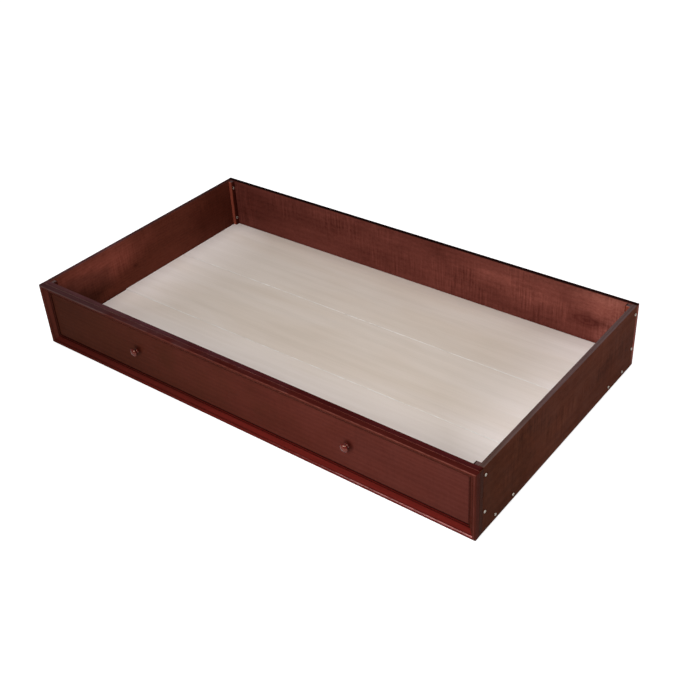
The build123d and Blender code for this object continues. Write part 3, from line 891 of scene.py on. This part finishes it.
def moulding_outline(bm, width, depth, shape):
    """Section of the moulding in the YZ plane, with its outer edge at Z = 0 and its back at Y = 0.

    Gives its face, how far each vertex of its bead has turned from the front, and how dark the painted shade
    in its corners is, where stain also gathers.
    """
    nose_height = depth - shape.nose_radius
    nose_centre = point(shape.nose_radius, nose_height)
    shoulder_centre = nose_centre + facing(SHOULDER_START) * (shape.nose_radius - shape.shoulder_radius)
    quirk = shoulder_centre + facing(SHOULDER_END) * shape.shoulder_radius
    quirk.y = shape.quirk_depth - depth
    slope_start = quirk - Vector((0, 0, shape.quirk_flat))
    lip_foot = width - 2 * shape.lip_radius
    slope_end = point(lip_foot, shape.lip_height + shape.slope_rise)
    slope_centre, hollow = hollow_arc(slope_start, slope_end, shape.slope_hollow)
    outline = Outline(bm, point(shape.moulding_arris, 0))
    outline.line(point(0, shape.moulding_arris), point(0, nose_height))
    outline.arc(nose_centre, X_AXIS, QUARTER_TURN + SHOULDER_START, steps=9)
    outline.arc(shoulder_centre, X_AXIS, SHOULDER_END - SHOULDER_START, steps=6)
    beads = {vert: lean(vert, nose_centre) for vert in bm.verts if -vert.co.y > nose_height}
    for vert, angle in beads.items():
        beads[vert] = angle if angle < SHOULDER_START else lean(vert, shoulder_centre)
    shaded_corners = {outline.line(quirk).last: QUIRK_SHADE, outline.line(slope_start).last: QUIRK_SHADE}
    outline.arc(slope_centre, X_AXIS, -hollow, steps=6)
    shaded_corners[outline.last] = 1
    shaded_corners[outline.line(point(lip_foot, shape.lip_height)).last] = 1
    outline.arc(point(width - shape.lip_radius, shape.lip_height), X_AXIS, math.pi, steps=8)
    shaded_corners.update({vert: LIP_SHADE for vert in bm.verts if -vert.co.z > lip_foot})
    shaded_corners[outline.line(point(width, 0)).last] = 1
    return outline.fill(), beads, shaded_corners


def moulding_stick(length, width, depth, shape, look):
    """One mitred length along X, outer edge up, with a painted bead highlight and painted corner shade."""
    bm = bmesh.new()
    wear = bm.verts.layers.float.new(WEAR_AND_HIGHLIGHT)
    pool = bm.verts.layers.float.new(STAIN_AND_SHADE)
    faces, beads, shaded_corners = moulding_outline(bm, width, depth, shape)
    # painted highlight on the bead, brightest at the stick's lean
    for vert, angle in beads.items():
        vert[wear] = max(0, 1 - abs(angle - math.radians(look.lean)) / HIGHLIGHT_SPREAD)
    # painted shade in the section's corners, where stain also gathers
    for vert, share in shaded_corners.items():
        vert[pool] = share * look.corner_shade
    swept = bmesh.ops.extrude_face_region(bm, geom=faces)["geom"]
    bmesh.ops.translate(bm, vec=(length, 0, 0), verts=verts_of(swept))
    bmesh.ops.translate(bm, vec=(-length / 2, 0, 0), verts=bm.verts)
    for side in (-1, 1):
        cut = bmesh.ops.bisect_plane(
            bm, geom=bm.verts[:] + bm.edges[:] + bm.faces[:], plane_co=(side * length / 2, 0, 0),
            plane_no=(side, 0, -1), clear_outer=True,
        )["geom_cut"]
        bmesh.ops.contextual_create(bm, geom=edges_of(cut))
    bmesh.ops.remove_doubles(bm, verts=bm.verts, dist=WELD)
    shade(bm)
    return bm


class TRUNDLE_OT_mouldings(bpy.types.Operator):
    """Four mitred sticks of moulding round the front"""
    bl_idname = "trundle.mouldings"
    bl_label = "Mouldings"

    def execute(self, context):
        """Build each stick along X and turn it into its place."""
        shape, colours = settings(context)
        low = part_box("front_bottom_moulding")[0]
        top_low, high = part_box("front_top_moulding")
        middle = (low + high) / 2
        length = high.x - low.x
        height = high.z - low.z
        lower = colours.moulding_stain
        upright = colours.upright_stain
        sides = {
            "top": (length, (0, high.y, high.z), 0, ALONG_X, upright, colours.moulding_edge),
            "bottom": (length, (0, high.y, low.z), math.pi, ALONG_X, lower, lower),
            "left": (height, (low.x, high.y, middle.z), -QUARTER_TURN, ALONG_Z, upright, upright),
            "right": (height, (high.x, high.y, middle.z), QUARTER_TURN, ALONG_Z, upright, upright),
        }
        for number, (side, (reach, place, turn, along, tone, top)) in enumerate(sides.items()):
            node = f"front_{side}_moulding"
            look = STICKS[side]
            finish = stained_wood(
                f"Moulding stain {side}", tone, along, (0.7 * number, 0.4, 0.3 + number), top,
                figure=0.15, streak=0.25, cloud=0.35, patches=laid(look.patches, node), wear=1.0,
                paled_by=look.paled_by, gloss=0.004, coat=look.coat,
            )
            bm = moulding_stick(reach, high.z - top_low.z, high.y - top_low.y, shape, look)
            stand(bm, place, turn, "Y")
            grade_highlight(bm, look.left, look.right)
            place_piece(bm, f"moulding_{side}", finish, node)
        return {"FINISHED"}


# Knobs
NECK_FLARE = (0.0016, 0.0012)  # the neck is this much wider at this height above the foot
COVE_TURN = 0.92 * QUARTER_TURN  # of the hollow between the neck and the head
KNOB_SHARPEST = math.radians(50)


def turned_knob(reach, shape):
    """A mushroom knob that stands on Z = 0 and is turned about Z."""
    foot_top = shape.knob_foot_height
    foot_bead = foot_top / 2
    foot_centre = shape.knob_foot_radius - foot_bead
    neck = shape.knob_neck_radius
    neck_low = foot_top + shape.knob_neck_rise
    neck_high = neck_low + shape.knob_neck_length
    cove = shape.knob_underside - neck_high
    rim = shape.knob_rim
    rim_centre = shape.knob_radius - rim
    rim_height = shape.knob_underside + rim
    rise = reach - rim_height
    dome_radius = (rim_centre ** 2 + rise ** 2 - rim ** 2) / (2 * (rise - rim))
    sweep = math.asin(rim_centre / (dome_radius - rim))
    flare_width, flare_height = NECK_FLARE
    bm = turned(
        LARGE_ROUND, (0, 0), (foot_centre, 0), Arc((foot_centre, foot_bead), -math.pi, 6),
        (neck + flare_width, foot_top + flare_height), (neck, neck_low), (neck, neck_high),
        Arc((neck + cove, neck_high), COVE_TURN, 8), (rim_centre, shape.knob_underside),
        Arc((rim_centre, rim_height), sweep - math.pi, 12), Arc((0, reach - dome_radius), -sweep, 10),
    )
    shade(bm, KNOB_SHARPEST)
    return bm


class TRUNDLE_OT_knobs(bpy.types.Operator):
    """Two turned knobs on the front"""
    bl_idname = "trundle.knobs"
    bl_label = "Knobs"

    def execute(self, context):
        """Turn each knob and stand it on the front board."""
        shape, colours = settings(context)
        tone = colours.moulding_stain
        for number, end in enumerate(ENDS):
            low, high = part_box(f"{end}_knob")
            middle = (low + high) / 2
            finish = stained_wood(
                f"Knob stain {end}", tone, (0.2, 0.1, QUARTER_TURN), (0.9 + number, 0.2, 0.5), tone,
                figure=0.2, streak=0.3, wear=0.0, gloss=0.7, rough=0.16,
            )
            bm = turned_knob(high.y - low.y, shape)
            stand(bm, (middle.x, high.y, middle.z), QUARTER_TURN, "X")
            place_piece(bm, f"turned_knob_{end}", finish, f"{end}_knob")
        return {"FINISHED"}


# Floor
FLOOR_BOARDS = (1, 2, 3)


class TRUNDLE_OT_floor(bpy.types.Operator):
    """Three washed floor boards"""
    bl_idname = "trundle.floor"
    bl_label = "Floor boards"

    def execute(self, context):
        """Build the boards with tight seams."""
        shape, colours = settings(context)
        boxes = [part_box(f"deck_board_{number}") for number in FLOOR_BOARDS]
        floor_low = boxes[0][0].copy()
        floor_high = boxes[-1][1].copy()
        seams = [(before[1].y + after[0].y) / 2 for before, after in zip(boxes, boxes[1:])]
        for seam, before, after in zip(seams, boxes, boxes[1:]):
            before[1].y = seam - shape.seam / 2
            after[0].y = seam + shape.seam / 2
        for number, (low, high) in zip(FLOOR_BOARDS, boxes):
            shift = (1.3 * number, 0.37 * number, 0.2)
            finish = washed_floor(f"Floor wash {number}", colours.floor_wash, shift, floor_low, floor_high)
            bm = eased_block(low, high, shape.board_ease, shape.wear_band)
            spare_wear_and_highlight(bm, lambda place: min(abs(place.y - seam) for seam in seams) < shape.wear_band)
            place_piece(bm, f"floor_board_{number}", finish, f"deck_board_{number}")
        return {"FINISHED"}


# Corner blocks
SHADED_ARRIS = Patch((0, 0, 0.5), (0.006, 0.03, 0.4), (0.16, 0.12, 0.12), 0.65)  # painted shade along the arris that looks into the bed


class TRUNDLE_OT_corner_blocks(bpy.types.Operator):
    """Four square blocks in the inside corners"""
    bl_idname = "trundle.corner_blocks"
    bl_label = "Corner blocks"

    def execute(self, context):
        """Build the blocks with eased edges."""
        shape, colours = settings(context)
        for row, end in CORNERS:
            node = f"{row}_{end}_corner_block"
            arris = SHADED_ARRIS._replace(centre=(end == "left", row == "back", 0.5))
            finish = stained_wood(
                f"Block stain {row} {end}", colours.block_stain, ALONG_Z, (0.4, 1.1, 4 + ENDS.index(end)),
                colours.end_edge, streak=0.3, patches=laid([arris], node), wear=0.5, gloss=0.01,
            )
            bm = eased_block(*part_box(node), shape.block_ease, shape.wear_band)
            place_piece(bm, f"{node}_eased", finish, node)
        return {"FINISHED"}


# Fasteners
SOCKET_LAND = 1.15  # a bolt's flat top begins this many socket radii from its middle
SCREW_RECESS = 0.42  # radius of a screw's recess, as a share of its head's


def solid_boxes(node):
    """Lowest and highest corner of each solid in a CAD node."""
    source = frame["nodes"][node]
    bm = bmesh.new()
    bm.from_mesh(source.data)
    bmesh.ops.transform(bm, matrix=source.matrix_world, verts=bm.verts)
    bmesh.ops.remove_doubles(bm, verts=bm.verts, dist=WELD)
    waiting = set(bm.verts)
    boxes = []
    while waiting:
        reached = [waiting.pop()]
        for vert in reached:
            near = {edge.other_vert(vert) for edge in vert.link_edges} & waiting
            waiting -= near
            reached.extend(near)
        boxes.append([[pick(vert.co[axis] for vert in reached) for axis in range(3)] for pick in (min, max)])
    bm.free()
    return [(Vector(low), Vector(high)) for low, high in sorted(boxes)]


def outward(box, axis):
    """The way out of the bed along an axis, from a box at its side."""
    way = Vector((0, 0, 0))
    way[axis] = math.copysign(1, box[0][axis])
    return way


def seat(box, direction, height):
    """Place of a fastener whose head, of the given height, ends its box in the given direction."""
    low, high = box
    reach = abs((high - low).dot(direction)) / 2 - height
    upright = Vector(Z_AXIS).rotation_difference(direction).to_matrix().to_4x4()
    return Matrix.Translation((low + high) / 2 + direction * reach) @ upright


def copies(bm, places):
    """The same solid at every place."""
    pattern = bm.verts[:] + bm.edges[:] + bm.faces[:]
    for place in places[1:]:
        made = bmesh.ops.duplicate(bm, geom=pattern)["geom"]
        bmesh.ops.transform(bm, matrix=place, verts=verts_of(made))
    bmesh.ops.transform(bm, matrix=places[0], verts=verts_of(pattern))
    return bm


def cut_recess(bm, height, radius, depth, sides):
    """Close the round hole in a head with a sunk recess for the driver."""
    rim = [edge for edge in bm.edges if edge.is_boundary]
    lift = Matrix.Translation((0, 0, height))
    mouth = bmesh.ops.create_circle(bm, segments=sides, radius=radius, matrix=lift)["verts"]
    edges = list({edge for vert in mouth for edge in vert.link_edges})
    bmesh.ops.bridge_loops(bm, edges=rim + edges)
    sunk = bmesh.ops.extrude_edge_only(bm, edges=edges)["geom"]
    bmesh.ops.translate(bm, vec=(0, 0, -depth), verts=verts_of(sunk))
    bmesh.ops.contextual_create(bm, geom=[edge for edge in edges_of(sunk) if edge.is_boundary])
    shade(bm)


def socket_bolt(shape, radius, length):
    """Bolt along Z with a domed head that stands on Z = 0."""
    head = shape.bolt_head
    dome = shape.head_dome
    shank = shape.bolt_shank
    tip = shank / 4
    bm = turned(
        SMALL_ROUND, (SOCKET_LAND * shape.socket_radius, head), (radius - dome, head),
        Arc((radius - dome, head - dome), QUARTER_TURN, 5), (radius, 0), (shank, 0), (shank, tip - length),
        (shank - tip, -length), (0, -length),
    )
    cut_recess(bm, head, shape.socket_radius, shape.socket_depth, sides=6)
    return bm


def sleeve_nut(shape, radius, length):
    """Sleeve along Z whose flange stands on Z = 0."""
    bore = shape.bolt_shank
    sleeve = bore + shape.sleeve_wall
    flange = shape.sleeve_flange
    soft = flange / 2
    bm = turned(
        SMALL_ROUND, (bore, flange), (radius - soft, flange), Arc((radius - soft, soft), QUARTER_TURN, 4),
        (radius, 0), (sleeve, 0), (sleeve, -length), (bore, -length), closed=True,
    )
    shade(bm)
    return bm


def wood_screw(shape, length):
    """Countersunk screw along Z with the top of its head at Z = 0."""
    head = shape.screw_head
    shank = shape.screw_shank
    bm = turned(
        SCREW_ROUND, (head / 2, 0), (head, 0), (shank, shank - head), (shank, 2 * shank - length),
        (0, -length),
    )
    cut_recess(bm, 0, head * SCREW_RECESS, head / 3, sides=4)
    return bm


class TRUNDLE_OT_fasteners(bpy.types.Operator):
    """Bolts, sleeve nuts and screws"""
    bl_idname = "trundle.fasteners"
    bl_label = "Fasteners"

    def execute(self, context):
        """Build each kind once and copy it to its places."""
        shape, colours = settings(context)
        steel = zinc_plate("Zinc plate", colours.zinc)
        kinds = (
            ("corner_bolts", "corner_bolts_socketed", socket_bolt, shape.bolt_head, 1),
            ("roller_bolts", "roller_bolts_socketed", socket_bolt, shape.bolt_head, 1),
            ("corner_sleeve_nuts", "sleeve_nuts_turned", sleeve_nut, shape.sleeve_flange, -1),
        )
        for node, name, make, head, way in kinds:
            boxes = solid_boxes(node)
            low, high = boxes[0]
            bm = make(shape, (high.z - low.z) / 2, high.x - low.x - head)
            places = [seat(box, outward(box, 0) * way, head) for box in boxes]
            place_piece(copies(bm, places), name, steel, node)
        boxes = solid_boxes("corner_block_screws")
        low, high = boxes[0]
        bm = copies(wood_screw(shape, high.y - low.y), [seat(box, -outward(box, 1), 0) for box in boxes])
        place_piece(bm, "block_screws_countersunk", steel, "corner_block_screws")
        return {"FINISHED"}


# Rollers
def wheel(shape, radius, width):
    """Moulded wheel about Z with a hub, a hollow web and a rounded tread."""
    half = width / 2
    web = half - shape.wheel_web
    soft = shape.wheel_shoulder
    slant = soft / 4
    hub = shape.wheel_hub
    outer = radius - shape.wheel_rim
    side = ((shape.wheel_bore, half), (hub, half), (hub + slant, web), (outer - slant, web), (outer, half))
    bm = turned(
        LARGE_ROUND, *((across, -along) for across, along in side), (radius - soft, -half),
        Arc((radius - soft, soft - half), -QUARTER_TURN, 5), (radius, half - soft),
        Arc((radius - soft, half - soft), -QUARTER_TURN, 5), *reversed(side), closed=True,
    )
    wear = bm.verts.layers.float.new(WEAR_AND_HIGHLIGHT)
    for vert in bm.verts:
        vert[wear] = 1 if vert.co.xy.length > radius - slant else 0
    shade(bm)
    return bm


class TRUNDLE_OT_rollers(bpy.types.Operator):
    """Four moulded wheels, each on its own body"""
    bl_idname = "trundle.rollers"
    bl_label = "Rollers"

    def execute(self, context):
        """Turn each wheel about its pin."""
        shape, colours = settings(context)
        finish = wheel_plastic("Wheel plastic", colours.wheel)
        for row, end in CORNERS:
            node = f"{row}_{end}_roller"
            low, high = part_box(node)
            bm = wheel(shape, (high.z - low.z) / 2, high.x - low.x)
            stand(bm, (low + high) / 2, QUARTER_TURN, "Y")
            place_piece(bm, f"{node}_moulded", finish, node, f"{row}_{end}_wheel")
        return {"FINISHED"}


# What keeps its CAD shape
class TRUNDLE_OT_underframe(bpy.types.Operator):
    """Slats, ledgers, roller blocks, pins and nuts, which keep the frame's own shapes"""
    bl_idname = "trundle.underframe"
    bl_label = "Under the floor"

    def execute(self, context):
        """Give each node its finish."""
        colours = context.scene.trundle_colours
        steel = zinc_plate("Zinc plate of pins and nuts", colours.zinc)
        along_length = bare_timber("Timber along the bed", colours.bare_timber, ALONG_X, (0.2, 0.8, 0.1))
        along_depth = bare_timber("Timber across the bed", colours.bare_timber, ALONG_Y, (0.5, 0.3, 0.4))
        for entry in frame["record"]["subparts"]:
            node = frame["nodes"][entry["node"]]
            if node.hide_render:
                continue
            timber = along_length if entry["node"] in ("front_ledger", "back_ledger") else along_depth
            node.data.materials.clear()
            node.data.materials.append(steel if entry["material_slot"] == "bright_steel" else timber)
        return {"FINISHED"}


# Stage
SENSOR_WIDTH = 36  # millimetres
STAGE_REACH = 40  # metres, from the middle of the floor to its sides
GLOW_NEAR = 1.2  # the floor's own light begins to rise this far from the bed's middle
GLOW_FAR = 3.2  # and from here on it has its full value
FAR_GLOW = 0.97
WALL_TOP = (0.15, 0.55)  # the white walls fade into the ceiling between these heights


class Lamp(NamedTuple):
    """A softbox, in metres."""
    place: tuple
    aim: tuple
    size: tuple


LAMPS = {
    "key": Lamp((1.0, -1.9, 1.5), (0.5, -0.3, 0.1), (1.1, 0.7)),
    "strip": Lamp((-0.35, -2.45, 1.05), (0.6, -0.54, 0.05), (0.95, 0.5)),
    "overhead": Lamp((-0.2, 0.2, 3.2), (-0.2, 0.2, 0.0), (3.6, 2.6)),
    "side": Lamp((2.7, 0.75, 1.2), (0.97, 0.2, 0.1), (0.8, 0.6)),
}


def seen_directly(bench, mirrored):
    """1 where the camera sees a surface, less where it is mirrored, and 0 for the light that it gives."""
    path = bench.add("ShaderNodeLightPath").outputs
    seen = bench.maths("MAXIMUM", path["Is Camera Ray"], path["Is Transmission Ray"])
    return bench.maths("MAXIMUM", seen, bench.times(path["Is Glossy Ray"], mirrored))


def studio_floor(tone, stage):
    """Pale floor that keeps a soft shadow, reads as white from above and is clear from below."""
    material, bench, shader = new_material("Studio floor", Roughness=0.9, Specular_IOR_Level=0.1)
    nodes = material.node_tree.nodes
    place = bench.places()["Object"]
    mottle = bench.span(bench.noise(place, scale=3.0, detail=3), 0.3, 0.7, 0.985, 1.0)
    bench.feed(shader["Base Color"], bench.tint(tone, mottle))
    away = bench.vectors("LENGTH", place)["Value"]
    white = bench.span(away, GLOW_NEAR, GLOW_FAR, stage.floor_glow, FAR_GLOW)
    strength = bench.times(seen_directly(bench, stage.mirrored), white)
    light = bench.add("ShaderNodeEmission", {"Color": (1, 1, 1, 1), "Strength": strength})
    lit = bench.add("ShaderNodeAddShader", {0: nodes["Principled BSDF"].outputs[0], 1: light.outputs[0]})
    below = bench.add("ShaderNodeNewGeometry").outputs["Backfacing"]
    clear = bench.add("ShaderNodeBsdfTransparent")
    sheer = bench.add("ShaderNodeMixShader", {0: below, 1: lit.outputs[0], 2: clear.outputs[0]})
    bench.feed(nodes["Material Output"].inputs["Surface"], sheer.outputs[0])
    return material


def white_surround(world, stage):
    """Walls that look white, under a dim ceiling that gives as much light as they do."""
    world.use_nodes = True
    bench = Bench(world.node_tree)
    rise = bench.parts(bench.places()["Generated"])["Z"]
    walls = bench.times(bench.span(rise, *WALL_TOP, 1.0, 0.0), seen_directly(bench, stage.mirrored))
    background = world.node_tree.nodes["Background"]
    bench.feed(background.inputs["Color"], (1, 1, 1, 1))
    bench.feed(background.inputs["Strength"], bench.span(walls, 0.0, 1.0, stage.ceiling, 1.0))


def softbox(name, lamp, power):
    """A rectangular light that faces a point."""
    data = bpy.data.lights.new(name, "AREA")
    data.shape = "RECTANGLE"
    data.size, data.size_y = lamp.size
    data.energy = power
    light = bpy.data.objects.new(name, data)
    light.location = lamp.place
    light.rotation_euler = (Vector(lamp.aim) - Vector(lamp.place)).to_track_quat("-Z", "Y").to_euler()
    bpy.context.scene.collection.objects.link(light)


class TRUNDLE_OT_stage(bpy.types.Operator):
    """Pale floor, soft light and the camera"""
    bl_idname = "trundle.stage"
    bl_label = "Stage"

    def execute(self, context):
        """Set the stage round the bed."""
        scene = context.scene
        stage = scene.trundle_stage
        scene.view_settings.view_transform = "Standard"
        bm = bmesh.new()
        bmesh.ops.create_grid(bm, x_segments=1, y_segments=1, size=STAGE_REACH)
        mesh = bpy.data.meshes.new("studio_floor")
        bm.to_mesh(mesh)
        bm.free()
        mesh.materials.append(studio_floor(scene.trundle_colours.studio_floor, stage))
        ground = bpy.data.objects.new("studio_floor", mesh)
        scene.collection.objects.link(ground)
        scene.world = scene.world or bpy.data.worlds.new("Surround")
        white_surround(scene.world, stage)
        for name, lamp in LAMPS.items():
            softbox(f"{name.title()} softbox", lamp, getattr(stage, name))
        camera = bpy.data.objects.new("Camera", bpy.data.cameras.new("Camera"))
        camera.data.lens = stage.lens
        camera.data.sensor_width = SENSOR_WIDTH
        camera.location = stage.eye
        camera.rotation_euler = stage.turn
        scene.collection.objects.link(camera)
        scene.camera = camera
        return {"FINISHED"}


class TRUNDLE_PT_sidebar(bpy.types.Panel):
    """Lists the steps that finish the bed"""
    bl_idname = "TRUNDLE_PT_sidebar"
    bl_label = "Trundle bed"
    bl_space_type = "VIEW_3D"
    bl_region_type = "UI"
    bl_category = "Trundle"

    def draw(self, context):
        """One button for each step."""
        for step in STEPS:
            self.layout.operator(step.bl_idname)


STEPS = (
    TRUNDLE_OT_panels,
    TRUNDLE_OT_mouldings,
    TRUNDLE_OT_knobs,
    TRUNDLE_OT_floor,
    TRUNDLE_OT_corner_blocks,
    TRUNDLE_OT_fasteners,
    TRUNDLE_OT_rollers,
    TRUNDLE_OT_underframe,
    TRUNDLE_OT_stage,
)
SETTINGS = {"trundle_shape": TrundleShape, "trundle_colours": TrundleColours, "trundle_stage": TrundleStage}


def register():
    """Make the settings, steps and panel known."""
    for name, settings in SETTINGS.items():
        bpy.utils.register_class(settings)
        setattr(bpy.types.Scene, name, bpy.props.PointerProperty(type=settings))
    for part in (*STEPS, TRUNDLE_PT_sidebar):
        bpy.utils.register_class(part)


def unregister():
    """Take them away again."""
    for part in (TRUNDLE_PT_sidebar, *reversed(STEPS)):
        bpy.utils.unregister_class(part)
    for name, settings in SETTINGS.items():
        delattr(bpy.types.Scene, name)
        bpy.utils.unregister_class(settings)


def main():
    """Finish the bed."""
    register()
    bpy.ops.trundle.panels()
    bpy.ops.trundle.mouldings()
    bpy.ops.trundle.knobs()
    bpy.ops.trundle.floor()
    bpy.ops.trundle.corner_blocks()
    bpy.ops.trundle.fasteners()
    bpy.ops.trundle.rollers()
    bpy.ops.trundle.underframe()
    bpy.ops.trundle.stage()


if __name__ == "__main__":
    main()
